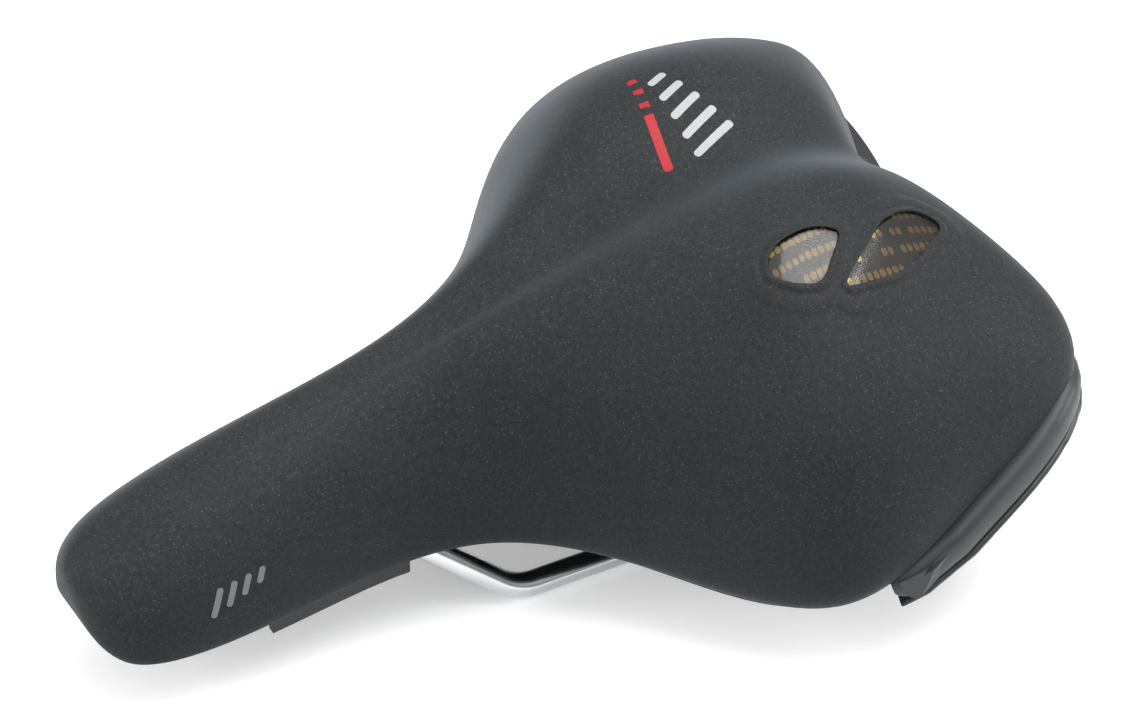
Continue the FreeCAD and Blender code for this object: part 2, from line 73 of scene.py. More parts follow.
bl_info = {
    "name": "Comfort Saddle",
    "version": (1, 0, 0),
    "blender": (4, 5, 0),
    "location": "View3D > Sidebar > Saddle",
    "description": "Makes the pieces and finishes of a comfort bicycle saddle",
    "category": "Object",
}

MM = 0.001
INK_RISE = 0.06 * MM            # how far the printed marks stand off the cover

# ---- the seat's form, in millimetres, as the model's source gives it ----
NOSE_Y = -142.0
SEAT_Z = 77.0
NOTCH = 27.0
NOSE_TIP_Z, TAIL_TIP_Z = -44.0, -11.0
SECTION = (0.27, 0.60, 0.92, 1.0, 0.98, 0.60)
NOTCH_ROWS = {6: 0.4, 7: 1.0, 8: 1.0}
EDGE_UP = 2.6
# y, half width, middle height, then rises of crest, shoulder and side, and the depth
STATIONS = [
    (-3.0, 19.0, -37.0, 1.0, -3.0, -11.0, 26.0),
    (18.0, 26.5, -28.0, 1.0, -3.0, -12.0, 37.0),
    (58.0, 24.0, -17.0, 2.0, -3.0, -14.0, 43.0),
    (104.0, 22.0, -7.0, 5.0, -3.0, -18.0, 49.0),
    (138.0, 53.0, 3.0, 14.0, 0.0, -23.0, 64.0),
    (170.0, 106.0, 12.0, 23.0, 6.0, -25.0, 79.0),
    (204.0, 91.0, 16.0, 21.0, 9.0, -21.0, 62.0),
    (232.0, 86.0, 11.0, 13.0, 8.0, -13.0, 39.0),
    (245.0, 63.0, 4.0, 6.0, 5.0, -4.0, 22.0),
]
GEL_X, GEL_Y, GEL_HALF_X, GEL_HALF_Y = 51.0, 57.0, 21.0, 34.0
GEL_LOW_Z = 62.0                # the gel pads lie above this height
WINDOW_ROWS = (5.0, 6.95)       # the windows' stretch of the form, along it and round it
WINDOW_ROUND = (1.25, 2.3)
BUMPER_FRONT_Y = 42.0
BUMPER_TUCK = 4.6               # how far the bead is drawn in at the tail
TAIL_MIDDLE_X, TAIL_SIDE_X = 62.0, 84.0     # the bead grows to its full height between these
TAIL_SHARE = 0.26               # share of its height at the tail's middle
TIP_SHARE = 0.03                # a band's end is this share of its full section
LINE_WINDOW = 0.035             # radians over which the tail's outline is averaged
TAPER_X, TAPER_Y, TAPER_TURN = 95.8, 43.0, math.radians(15.0)
TAIL_CENTRE_Y = 40.0            # the tail's outline is seen from this point in plan


# ---- settings ----

def length_property(name, description, default):
    return FloatProperty(name=name, description=description, default=default, unit="LENGTH")


def colour_property(name, description, default):
    return FloatVectorProperty(name=name, description=description, default=default,
                               subtype="COLOR")


class SaddleSizes(bpy.types.PropertyGroup):
    """Sizes of the modelled pieces."""
    skin: length_property("Skin", "Thickness of the cover", 0.0012)
    cell: length_property("Cell", "Spacing of the cover's mesh", 0.0019)
    fine_cell: length_property("Fine cell", "Spacing beside the windows", 0.00055)
    lip_rise: length_property("Lip rise", "Height of the lip round each window", 0.0005)
    lip_width: length_property("Lip width", "Width of the lip round each window", 0.0013)
    bead_out: length_property("Bead", "How far the bumper stands out from the cover", 0.0060)
    spring_ribs: IntProperty(
        name="Spring ribs", description="Number of ribs round each elastomer", default=3)


class SaddleColours(bpy.types.PropertyGroup):
    """Colours of the finishes."""
    cover: colour_property("Cover", "Soft-touch skin", (0.025, 0.0275, 0.029))
    bumper: colour_property("Bumper", "Rear bumper's rubber", (0.034, 0.037, 0.040))
    moulding: colour_property("Moulding", "Base and shoes", (0.012, 0.012, 0.013))
    wire: colour_property("Wire", "Plated rail", (0.60, 0.62, 0.63))
    gold: colour_property("Gold", "Print under the windows", (0.38, 0.26, 0.085))
    grey_mark: colour_property("Grey mark", "Light grey print", (0.42, 0.43, 0.44))
    red_mark: colour_property("Red mark", "Red print", (0.42, 0.012, 0.018))


class SaddleStudio(bpy.types.PropertyGroup):
    """Camera and light."""
    camera_place: FloatVectorProperty(
        name="Camera", description="Camera's place", subtype="TRANSLATION", unit="LENGTH",
        default=(0.9837, -0.5285, 0.9010))
    camera_aim: FloatVectorProperty(
        name="Aim", description="Point in the middle of the picture", subtype="TRANSLATION",
        unit="LENGTH", default=(0.00994, -0.00443, 0.05866))
    camera_roll: FloatProperty(
        name="Roll", description="Camera's turn about its own axis", subtype="ANGLE",
        default=math.radians(-0.4))
    lens: FloatProperty(name="Lens", description="Focal length in millimetres", default=169.1)
    key: FloatProperty(name="Key", description="Power of the top light", default=13.0)
    world: FloatProperty(name="World", description="Strength of the surroundings", default=0.72)


# ---- the seat's form ----

def notch_shift(index, part):
    return NOTCH * NOTCH_ROWS.get(index, 0.0) * (min(part, 1.0) ** 2 - 0.4)


def form_net(deepen=0.0):
    """Control points: a row per station between the nose's and the tail's tips."""
    rows = []
    for index, (y, wide, mid, crest, shoulder, side, depth) in enumerate(STATIONS):
        low = -depth - deepen
        heights = [0.0, crest, shoulder, side, 0.45 * side - 0.55 * depth, low, low, low]
        half = [(part * wide, NOSE_Y + y + notch_shift(index, part), SEAT_Z + mid + height)
                for part, height in zip((0.0,) + SECTION + (0.0,), heights)]
        rows.append(half + [(-x, back, z) for x, back, z in half[-2:0:-1]])
    nose = (0.0, rows[0][0][1], SEAT_Z + NOSE_TIP_Z)
    tail = (0.0, rows[-1][0][1], SEAT_Z + TAIL_TIP_Z)
    columns = len(rows[0])
    return np.array([[nose] * columns] + rows + [[tail] * columns])


def edge_net(up):
    """Control points of the surface that the cover's cut edge follows."""
    rows = []
    for index, station in enumerate(STATIONS):
        y, wide, z = NOSE_Y + station[0], station[1], SEAT_Z + station[2] - station[6] + up
        half = [(part * wide, y + notch_shift(index, part), z) for part in (0.0, 0.6, 1.0)]
        half.append((150.0, y + notch_shift(index, 1.0), z))
        rows.append([(-x, back, low) for x, back, low in half[:0:-1]] + half)
    rows = np.array(rows)
    ahead, behind = rows[0] + (0, -30.0, 0), rows[-1] + (0, 60.0, 10.0)
    return np.concatenate([[ahead], rows, [behind]])


def clamped_weights(count, places):
    """Weights of a clamped uniform cubic's control points at each place."""
    spans = count - 3
    knots = np.array([0.0] * 3 + list(range(spans + 1)) + [float(spans)] * 3)
    places = np.clip(places, 0.0, spans - 1e-9)
    weights = ((places[:, None] >= knots[None, :-1]) & (places[:, None] < knots[None, 1:]))
    weights = weights.astype(float)
    for degree in (1, 2, 3):
        size = weights.shape[1] - 1
        raised = np.zeros((len(places), size))
        for i in range(size):
            run = knots[i + degree] - knots[i]
            if run > 0:
                raised[:, i] += (places - knots[i]) / run * weights[:, i]
            run = knots[i + degree + 1] - knots[i + 1]
            if run > 0:
                raised[:, i] += (knots[i + degree + 1] - places) / run * weights[:, i + 1]
        weights = raised
    return weights


def ring_weights(count, places):
    """Weights of a closed uniform cubic's control points; point j's own place is j."""
    weights = np.zeros((len(places), count))
    whole = np.floor(places).astype(int)
    f = places - whole
    shares = ((1 - f) ** 3, 3 * f ** 3 - 6 * f ** 2 + 4,
              -3 * f ** 3 + 3 * f ** 2 + 3 * f + 1, f ** 3)
    for step, share in enumerate(shares):
        np.add.at(weights, (np.arange(len(places)), (whole - 1 + step) % count), share / 6.0)
    return weights


def form_points(net, along, around):
    """Points of the form for every pair of places, and the outward normals there."""
    def at(u, v):
        return np.einsum("ui,vj,ijk->uvk", clamped_weights(len(net), u),
                         ring_weights(net.shape[1], v), net)
    inner = np.clip(along, 0.02, len(net) - 3.02)
    run = at(inner + 0.01, around) - at(inner - 0.01, around)
    turn = at(inner, around + 0.01) - at(inner, around - 0.01)
    normal = np.cross(run, turn)
    normal /= np.linalg.norm(normal, axis=2, keepdims=True) + 1e-12
    points = at(along, around)
    middle = points.mean(axis=1, keepdims=True)
    if np.sum(normal * (points - middle)) < 0:
        normal = -normal
    return points, normal


def spread(stops, coarse, fine, window):
    """Places from the first stop to the last, closer together within the window."""
    first, last = stops
    low, high = window
    runs = [np.linspace(first, low, max(2, round((low - first) / coarse)), endpoint=False),
            np.linspace(low, high, max(2, round((high - low) / fine)), endpoint=False),
            np.linspace(high, last, max(2, round((last - high) / coarse)))]
    return np.concatenate(runs)


def edge_tree(up):
    """The cut edge's surface as a tree to cast rays at, in millimetres."""
    net = edge_net(up)
    u, v = np.linspace(0, len(net) - 3, 97), np.linspace(0, net.shape[1] - 3, 49)
    points = np.einsum("ui,vj,ijk->uvk", clamped_weights(len(net), u),
                       clamped_weights(net.shape[1], v), net)
    wide = len(v)
    faces = [(i * wide + j, i * wide + j + 1, (i + 1) * wide + j + 1, (i + 1) * wide + j)
             for i in range(len(u) - 1) for j in range(wide - 1)]
    return BVHTree.FromPolygons([Vector(p) for p in points.reshape(-1, 3)], faces)


def edge_height(tree, x, y):
    hit = tree.ray_cast(Vector((x, y, -500.0)), Vector((0, 0, 1)))[0]
    return hit.z if hit is not None else -500.0


# ---- outlines in plan ----

def pane_outline(name):
    """Outline in plan of a CAD window pane, in millimetres, from the walls of its mesh."""
    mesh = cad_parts[name].data
    found = set()
    for face in mesh.polygons:
        if abs(face.normal.z) < 0.35:
            for index in face.vertices:
                x, y, _ = mesh.vertices[index].co
                found.add((round(x / MM, 3), round(y / MM, 3)))
    points = np.array(sorted(found))
    offset = points - points.mean(axis=0)
    return points[np.argsort(np.arctan2(offset[:, 1], offset[:, 0]))]


def outline_distance(points, outline):
    """Distance in plan from an outline, negative inside it."""
    start, end = outline, np.roll(outline, -1, axis=0)
    flat = points[:, None, :2] - start[None]
    side = (end - start)[None]
    share = np.clip((flat * side).sum(2) / np.maximum((side ** 2).sum(2), 1e-12), 0, 1)
    near = np.linalg.norm(flat - share[..., None] * side, axis=2).min(axis=1)
    x, y = points[:, None, 0], points[:, None, 1]
    rising = (start[None, :, 1] <= y) != (end[None, :, 1] <= y)
    height = end[None, :, 1] - start[None, :, 1]
    height = np.where(np.abs(height) < 1e-12, 1e-12, height)
    across = start[None, :, 0] + (y - start[None, :, 1]) / height * side[..., 0]
    inside = (rising & (across > x)).sum(axis=1) % 2 == 1
    return np.where(inside, -near, near)


def oval_distance(points, side):
    """About the distance in plan from a gel pad's oval, negative inside it."""
    x = (points[:, 0] - side * GEL_X) / GEL_HALF_X
    y = (points[:, 1] - GEL_Y) / GEL_HALF_Y
    return (np.hypot(x, y) - 1.0) * GEL_HALF_X


# ---- meshes ----

def deselect_all():
    if bpy.context.object is not None and bpy.context.object.mode != "OBJECT":
        bpy.ops.object.mode_set(mode="OBJECT")
    bpy.ops.object.select_all(action="DESELECT")


def make_active(piece):
    deselect_all()
    piece.select_set(True)
    bpy.context.view_layer.objects.active = piece


def piece_from_mesh(name, points, faces):
    """New object at the origin from points in millimetres."""
    mesh = bpy.data.meshes.new(name)
    mesh.from_pydata([tuple(p) for p in np.asarray(points) * MM], [], faces)
    piece = bpy.data.objects.new(name, mesh)
    bpy.context.scene.collection.objects.link(piece)
    return piece


def apply_modifier(piece, kind, **settings):
    make_active(piece)
    modifier = piece.modifiers.new(kind.lower(), kind)
    for key, value in settings.items():
        setattr(modifier, key, value)
    bpy.ops.object.modifier_apply(modifier=modifier.name)


def smooth(piece, degrees=35.0):
    make_active(piece)
    bpy.ops.object.shade_smooth_by_angle(angle=math.radians(degrees))


def settle(piece):
    """Puts the object's place, turn and size into its mesh."""
    make_active(piece)
    bpy.ops.object.transform_apply(location=True, rotation=True, scale=True)


def cut_where(mesh, values, keep_level=1e-6):
    """Cuts a bmesh along the zero line of one value per vertex and drops the negative side."""
    layer = mesh.verts.layers.float.new("cut")
    for vert, value in zip(mesh.verts, values):
        vert[layer] = value
    made = []
    for edge in [e for e in mesh.edges
                 if e.verts[0][layer] * e.verts[1][layer] < 0]:
        first, last = edge.verts
        share = first[layer] / (first[layer] - last[layer])
        if 0.02 < share < 0.98:
            _, vert = bmesh.utils.edge_split(edge, first, share)
            vert[layer] = 0.0
            made.append(vert)
        else:
            (first if share <= 0.02 else last)[layer] = 0.0
            made.append(first if share <= 0.02 else last)
    bmesh.ops.connect_verts(mesh, verts=list(set(made)))
    out = [f for f in mesh.faces if sum(v[layer] for v in f.verts) < -keep_level]
    bmesh.ops.delete(mesh, geom=out, context="FACES")
    bmesh.ops.delete(mesh, geom=[v for v in mesh.verts if not v.link_faces], context="VERTS")
    mesh.verts.layers.float.remove(layer)


def bmesh_points(mesh):
    return np.array([v.co[:] for v in mesh.verts])


def seat_layer(name, sink, thickness, coarse, fine, shape=None, cuts=()):
    """A shell that follows the seat's form, sunk below it, trimmed at the cut edge.

    shape moves points outwards and cuts give values that are negative where nothing stays.
    """
    net = form_net()
    along = spread((0.0, len(net) - 3.0), coarse / 35.0, fine / 31.0, WINDOW_ROWS)
    around = spread((0.0, float(net.shape[1])), coarse / 31.0, fine / 25.0, WINDOW_ROUND)[:-1]
    points, normals = form_points(net, along, around)
    rows, columns = points.shape[:2]
    flat = points.reshape(-1, 3)
    lift = -sink + (shape(flat) if shape else 0.0)
    flat = flat + normals.reshape(-1, 3) * np.reshape(lift, (-1, 1))
    faces = [(i * columns + j, i * columns + (j + 1) % columns,
              (i + 1) * columns + (j + 1) % columns, (i + 1) * columns + j)
             for i in range(rows - 1) for j in range(columns)]
    mesh = bmesh.new()
    verts = [mesh.verts.new(p) for p in flat]
    for face in faces:
        mesh.faces.new([verts[k] for k in face])
    for row in (0, rows - 1):
        tip = verts[row * columns:(row + 1) * columns]
        bmesh.ops.pointmerge(mesh, verts=tip, merge_co=sum((v.co for v in tip), Vector()) / columns)
    tree = edge_tree(EDGE_UP)
    places = bmesh_points(mesh)
    cut_where(mesh, [z - edge_height(tree, x, y) for x, y, z in places])
    for cut in cuts:
        cut_where(mesh, cut(bmesh_points(mesh)))
    bmesh.ops.recalc_face_normals(mesh, faces=mesh.faces[:])
    top = max(mesh.faces, key=lambda face: face.calc_center_median().z)
    if top.normal.z < 0:
        bmesh.ops.reverse_faces(mesh, faces=mesh.faces[:])
    bmesh.ops.scale(mesh, vec=(MM, MM, MM), verts=mesh.verts[:])
    data = bpy.data.meshes.new(name)
    mesh.to_mesh(data)
    mesh.free()
    piece = bpy.data.objects.new(name, data)
    bpy.context.scene.collection.objects.link(piece)
    apply_modifier(piece, "SOLIDIFY", thickness=thickness * MM, offset=-1.0,
                   use_even_offset=False, use_rim=True)
    return piece


def tail_outline(up, spacing=1.5):
    """The tail's outline at a height about the form's underside, from left to right, with
    even spacing: points in millimetres and how far each stands along the line."""
    net = form_net(16.0)
    along, around = np.linspace(3.5, len(net) - 3.0, 180), np.linspace(0, 14, 281)
    points, _ = form_points(net, along, around)
    tree = edge_tree(up)
    gap = np.array([[z - edge_height(tree, x, y) for x, y, z in row] for row in points])
    found = []
    for first, last, here, there in (
            (points[:-1], points[1:], gap[:-1], gap[1:]),
            (points[:, :-1], points[:, 1:], gap[:, :-1], gap[:, 1:])):
        crossing = here * there < 0
        share = (here[crossing] / (here[crossing] - there[crossing]))[:, None]
        found.append(first[crossing] * (1 - share) + last[crossing] * share)
    found = np.concatenate(found)
    found = found[found[:, 1] > TAIL_CENTRE_Y - 10.0]
    angle = np.arctan2(found[:, 0], found[:, 1] - TAIL_CENTRE_Y)
    line = found[np.argsort(-angle)]
    line = line[line[:, 1] > BUMPER_FRONT_Y]
    steps = np.linspace(0, 1, 61)
    angle = np.sort(angle[found[:, 1] > BUMPER_FRONT_Y])[::-1]
    widths = np.interp(steps, np.linspace(0, 1, len(angle)), angle)
    smooth_line = []
    for value in widths:
        near = np.abs(np.arctan2(line[:, 0], line[:, 1] - TAIL_CENTRE_Y) - value) < LINE_WINDOW
        smooth_line.append(line[near].mean(axis=0))
    smooth_line = np.array(smooth_line)
    run = np.concatenate([[0], np.cumsum(np.linalg.norm(np.diff(smooth_line, axis=0), axis=1))])
    places = np.linspace(0, run[-1], round(run[-1] / spacing))
    even = np.stack([np.interp(places, run, smooth_line[:, k]) for k in range(3)], axis=1)
    return even, places


def swept_band(name, profile, up, end_length):
    """A closed profile swept round the tail, with bullet-shaped front ends.

    The profile's points are (outwards, upwards) from the outline, in millimetres.
    """
    path, places = tail_outline(up)
    tangent = np.gradient(path, axis=0)
    tangent /= np.linalg.norm(tangent, axis=1, keepdims=True)
    outward = np.cross(tangent, (0, 0, 1.0))
    outward /= np.linalg.norm(outward, axis=1, keepdims=True)
    outward *= np.sign(np.sum(outward * (path - (0, TAIL_CENTRE_Y, 0)), axis=1))[:, None]
    upward = np.cross(outward, tangent)
    upward *= np.sign(upward[:, 2])[:, None]
    reach = np.minimum(places, places[-1] - places) / end_length
    size = np.sqrt(np.clip(1 - (1 - np.clip(reach, 0.0, 1.0)) ** 2, TIP_SHARE ** 2, 1.0))
    profile = np.array(profile)
    middle = np.array((0.3, profile[:, 1].mean()))
    beyond = np.clip((np.abs(path[:, 0]) - TAIL_MIDDLE_X) / (TAIL_SIDE_X - TAIL_MIDDLE_X), 0, 1)
    tall = TAIL_SHARE + (1 - TAIL_SHARE) * beyond * beyond * (3 - 2 * beyond)
    limit = np.minimum(TAPER_X + math.tan(TAPER_TURN) * (path[:, 1] - TAPER_Y),
                       CAD_HIGH.x / MM - 0.2)
    inward = np.clip(np.abs(path[:, 0]) + profile[:, 0].max() - limit, 0, None)
    inward += BUMPER_TUCK * np.clip(outward[:, 1], 0, 1)
    rings = []
    for point, out, rise, scale, share, drawn_in in zip(path, outward, upward, size, tall, inward):
        drawn = np.where(profile > 0, profile * (1, share), profile) - (drawn_in, 0)
        drawn = middle + (drawn - middle) * scale
        rings.append(point + drawn[:, :1] * out + drawn[:, 1:] * rise)
    count = len(profile)
    points = np.concatenate(rings)
    faces = [(i * count + j, i * count + (j + 1) % count,
              (i + 1) * count + (j + 1) % count, (i + 1) * count + j)
             for i in range(len(path) - 1) for j in range(count)]
    faces += [tuple(range(count)), tuple(range(len(points) - count, len(points)))[::-1]]
    piece = piece_from_mesh(name, points, faces)
    make_active(piece)
    bpy.ops.object.mode_set(mode="EDIT")
    bpy.ops.mesh.select_all(action="SELECT")
    bpy.ops.mesh.normals_make_consistent(inside=False)
    bpy.ops.object.mode_set(mode="OBJECT")
    return piece


# ---- node building ----

def add_node(tree, kind, inputs=None, **settings):
    """A node with its settings, and its inputs set to values or linked to sockets."""
    made = tree.nodes.new(kind)
    for key, value in settings.items():
        setattr(made, key, value)
    for key, value in (inputs or {}).items():
        if isinstance(value, bpy.types.NodeSocket):
            tree.links.new(value, made.inputs[key])
        else:
            made.inputs[key].default_value = value
    return made


def maths(tree, operation, first, second=0.0, third=None, clamp=False):
    inputs = {0: first, 1: second}
    if third is not None:
        inputs[2] = third
    return add_node(tree, "ShaderNodeMath", inputs, operation=operation,
                    use_clamp=clamp).outputs[0]


def remap(tree, value, low, high, to_low=0.0, to_high=1.0):
    return add_node(tree, "ShaderNodeMapRange", {
        "Value": value, "From Min": low, "From Max": high,
        "To Min": to_low, "To Max": to_high}).outputs["Result"]


def noise(tree, place, scale, detail=2.0, rough=0.5):
    return add_node(tree, "ShaderNodeTexNoise", {
        "Vector": place, "Scale": scale, "Detail": detail, "Roughness": rough}).outputs["Fac"]


def mix_colour(tree, share, first, second, blend="MIX"):
    node = add_node(tree, "ShaderNodeMix", data_type="RGBA", blend_type=blend)
    for socket, value in ((node.inputs[0], share), (node.inputs[6], first),
                          (node.inputs[7], second)):
        if isinstance(value, bpy.types.NodeSocket):
            tree.links.new(value, socket)
        else:
            socket.default_value = value
    return node.outputs[2]


def new_group(name, inputs, outputs):
    """Empty node group; inputs are name: (kind, default) and outputs name: kind."""
    tree = bpy.data.node_groups.new(name, "ShaderNodeTree")
    for key, (kind, default) in inputs.items():
        socket = tree.interface.new_socket(key, in_out="INPUT", socket_type=kind)
        if default is not None:
            socket.default_value = default
    for key, kind in outputs.items():
        tree.interface.new_socket(key, in_out="OUTPUT", socket_type=kind)
    start = tree.nodes.new("NodeGroupInput")
    end = tree.nodes.new("NodeGroupOutput")
    return tree, start.outputs, end.inputs


def grain_group():
    """Fine moulded grain: a height, an even tone and a mask of tiny light specks."""
    if "fine_grain" in bpy.data.node_groups:
        return bpy.data.node_groups["fine_grain"]
    tree, given, out = new_group("fine_grain", {
        "Place": ("NodeSocketVector", None), "Scale": ("NodeSocketFloat", 3000.0),
        "Speck share": ("NodeSocketFloat", 0.3)},
        {"Height": "NodeSocketFloat", "Tone": "NodeSocketFloat", "Specks": "NodeSocketFloat"})
    fine = noise(tree, given["Place"], given["Scale"], 3.0, 0.62)
    coarse = noise(tree, given["Place"], maths(tree, "MULTIPLY", given["Scale"], 0.34), 2.0)
    tree.links.new(maths(tree, "MULTIPLY_ADD", fine, 0.6, maths(
        tree, "MULTIPLY", coarse, 0.4)), out["Height"])
    broad = noise(tree, given["Place"], 26.0, 3.0, 0.55)
    tree.links.new(remap(tree, broad, 0.35, 0.65), out["Tone"])
    dots = add_node(tree, "ShaderNodeTexVoronoi", {
        "Vector": given["Place"],
        "Scale": maths(tree, "MULTIPLY", given["Scale"], 0.55)}, feature="F1")
    lit = maths(tree, "LESS_THAN", dots.outputs["Distance"], 0.26)
    parts = add_node(tree, "ShaderNodeSeparateColor", {"Color": dots.outputs["Color"]})
    chosen = maths(tree, "LESS_THAN", parts.outputs[0], given["Speck share"])
    faint = remap(tree, parts.outputs[1], 0.0, 1.0, 0.15, 1.0)
    tree.links.new(maths(tree, "MULTIPLY", maths(tree, "MULTIPLY", lit, chosen), faint),
                   out["Specks"])
    return tree


def wear_group():
    """Mask of raised edges, broken up by noise."""
    if "edge_wear" in bpy.data.node_groups:
        return bpy.data.node_groups["edge_wear"]
    tree, given, out = new_group("edge_wear", {
        "Place": ("NodeSocketVector", None), "Low": ("NodeSocketFloat", 0.51),
        "High": ("NodeSocketFloat", 0.62)}, {"Mask": "NodeSocketFloat"})
    point = add_node(tree, "ShaderNodeNewGeometry").outputs["Pointiness"]
    edge = remap(tree, point, given["Low"], given["High"])
    broken = remap(tree, noise(tree, given["Place"], 420.0, 4.0, 0.6), 0.35, 0.7, 0.25, 1.0)
    tree.links.new(maths(tree, "MULTIPLY", edge, broken, clamp=True), out["Mask"])
    return tree


def dust_group():
    """Soft patches of handling dust: a mask that favours faces turned upwards."""
    if "handling_dust" in bpy.data.node_groups:
        return bpy.data.node_groups["handling_dust"]
    tree, given, out = new_group("handling_dust", {
        "Place": ("NodeSocketVector", None), "Amount": ("NodeSocketFloat", 0.3)},
        {"Mask": "NodeSocketFloat"})
    normal = add_node(tree, "ShaderNodeNewGeometry").outputs["Normal"]
    parts = add_node(tree, "ShaderNodeSeparateXYZ", {"Vector": normal})
    upward = remap(tree, parts.outputs["Z"], -0.2, 1.0, 0.35, 1.0)
    patches = remap(tree, noise(tree, given["Place"], 60.0, 5.0, 0.62), 0.42, 0.72)
    tree.links.new(maths(tree, "MULTIPLY", maths(tree, "MULTIPLY", upward, patches),
                         given["Amount"]), out["Mask"])
    return tree


def streak_group():
    """Drawing and plating marks on metal: fine streaks along Y and soft clouds."""
    if "metal_streaks" in bpy.data.node_groups:
        return bpy.data.node_groups["metal_streaks"]
    tree, given, out = new_group("metal_streaks", {
        "Place": ("NodeSocketVector", None), "Scale": ("NodeSocketFloat", 1400.0)},
        {"Height": "NodeSocketFloat", "Cloud": "NodeSocketFloat"})
    drawn = add_node(tree, "ShaderNodeMapping", {
        "Vector": given["Place"], "Scale": (1.0, 0.06, 1.0)}).outputs["Vector"]
    tree.links.new(noise(tree, drawn, given["Scale"], 3.0, 0.6), out["Height"])
    cloud = noise(tree, given["Place"], 90.0, 4.0, 0.6)
    tree.links.new(remap(tree, cloud, 0.3, 0.7), out["Cloud"])
    return tree


def dash_group():
    """Rows of rounded drops of uneven length, in the plan of the seat."""
    if "drop_rows" in bpy.data.node_groups:
        return bpy.data.node_groups["drop_rows"]
    tree, given, out = new_group("drop_rows", {
        "Place": ("NodeSocketVector", None), "Row": ("NodeSocketFloat", 0.0046),
        "Drop": ("NodeSocketFloat", 0.0019)}, {"Mask": "NodeSocketFloat"})
    turned = add_node(tree, "ShaderNodeMapping", {
        "Vector": given["Place"], "Rotation": (0.0, 0.0, math.radians(-90.0))})
    parts = add_node(tree, "ShaderNodeSeparateXYZ", {"Vector": turned.outputs["Vector"]})
    across = maths(tree, "DIVIDE", parts.outputs["Y"], given["Row"])
    row = maths(tree, "FLOOR", across)
    slid = maths(tree, "MULTIPLY_ADD", row, 0.37, maths(
        tree, "DIVIDE", parts.outputs["X"], given["Drop"]))
    cell = maths(tree, "FLOOR", slid)
    seed = add_node(tree, "ShaderNodeCombineXYZ", {"X": row, "Y": cell}).outputs["Vector"]
    chance = add_node(tree, "ShaderNodeTexWhiteNoise", {"Vector": seed},
                      noise_dimensions="3D").outputs["Value"]
    along = maths(tree, "SUBTRACT", maths(tree, "FRACT", slid), 0.5)
    up = maths(tree, "SUBTRACT", maths(tree, "FRACT", across), 0.5)
    half = remap(tree, chance, 0.0, 1.0, 0.05, 0.16)
    beyond = maths(tree, "MAXIMUM", maths(
        tree, "SUBTRACT", maths(tree, "ABSOLUTE", along), half), 0.0)
    square = maths(tree, "MULTIPLY", beyond, beyond)
    tall = maths(tree, "MULTIPLY", up, 1.25)
    apart = maths(tree, "SQRT", maths(tree, "MULTIPLY_ADD", tall, tall, square))
    inside = remap(tree, apart, 0.30, 0.24)
    shown = maths(tree, "GREATER_THAN", chance, 0.16)
    tree.links.new(maths(tree, "MULTIPLY", inside, shown, clamp=True), out["Mask"])
    return tree


def use_group(tree, group, inputs):
    made = tree.nodes.new("ShaderNodeGroup")
    made.node_tree = group
    for key, value in inputs.items():
        if isinstance(value, bpy.types.NodeSocket):
            tree.links.new(value, made.inputs[key])
        else:
            made.inputs[key].default_value = value
    return made.outputs


def new_finish(name, **constants):
    """Material with a Principled shader; constants are its sockets, with _ for spaces."""
    finish = bpy.data.materials.new(name)
    finish.use_nodes = True
    tree = finish.node_tree
    shader = tree.nodes["Principled BSDF"]
    for key, value in constants.items():
        shader.inputs[key.replace("_", " ")].default_value = value
    place = add_node(tree, "ShaderNodeTexCoord").outputs["Object"]
    return finish, tree, shader, place


def set_relief(tree, shader, height, strength, distance):
    bump = add_node(tree, "ShaderNodeBump", {
        "Height": height, "Strength": strength, "Distance": distance})
    tree.links.new(bump.outputs["Normal"], shader.inputs["Normal"])


def rgba(colour, factor=1.0):
    return tuple(min(1.0, part * factor) for part in colour) + (1.0,)


def colours():
    return bpy.context.scene.saddle_colours


def sizes():
    return bpy.context.scene.saddle_sizes


def moulded_finish(name, colour, roughness, grain, depth, dust=0.25, worn=False, **constants):
    """Moulded plastic or rubber with grain, tone, dust and, on new pieces, pale edges."""
    finish, tree, shader, place = new_finish(name, **constants)
    marks = use_group(tree, grain_group(), {
        "Place": place, "Scale": grain, "Speck share": 0.18})
    dusty = use_group(tree, dust_group(), {"Place": place, "Amount": dust})["Mask"]
    body = mix_colour(tree, marks["Tone"], rgba(colour, 0.86), rgba(colour, 1.16))
    body = mix_colour(tree, dusty, body, rgba([c * 0.5 + 0.05 for c in colour]))
    if worn:
        edge = use_group(tree, wear_group(), {"Place": place})["Mask"]
        body = mix_colour(tree, maths(tree, "MULTIPLY", edge, 0.55), body,
                          rgba([c * 1.6 + 0.03 for c in colour]))
    tree.links.new(body, shader.inputs["Base Color"])
    rough = remap(tree, marks["Tone"], 0.0, 1.0, roughness - 0.05, roughness + 0.05)
    tree.links.new(maths(tree, "MULTIPLY_ADD", dusty, 0.2, rough), shader.inputs["Roughness"])
    set_relief(tree, shader, marks["Height"], 0.5, depth)
    return finish


def metal_finish(name, colour, roughness, streak=1400.0, depth=0.00001):
    finish, tree, shader, place = new_finish(name, Metallic=1.0)
    marks = use_group(tree, streak_group(), {"Place": place, "Scale": streak})
    dusty = use_group(tree, dust_group(), {"Place": place, "Amount": 0.25})["Mask"]
    body = mix_colour(tree, marks["Cloud"], rgba(colour, 0.9), rgba(colour, 1.04))
    body = mix_colour(tree, dusty, body, rgba(colour, 0.55))
    tree.links.new(body, shader.inputs["Base Color"])
    rough = remap(tree, marks["Cloud"], 0.0, 1.0, roughness * 0.8, roughness * 1.25)
    tree.links.new(maths(tree, "MULTIPLY_ADD", dusty, 0.3, rough), shader.inputs["Roughness"])
    set_relief(tree, shader, marks["Height"], 0.35, depth)
    return finish


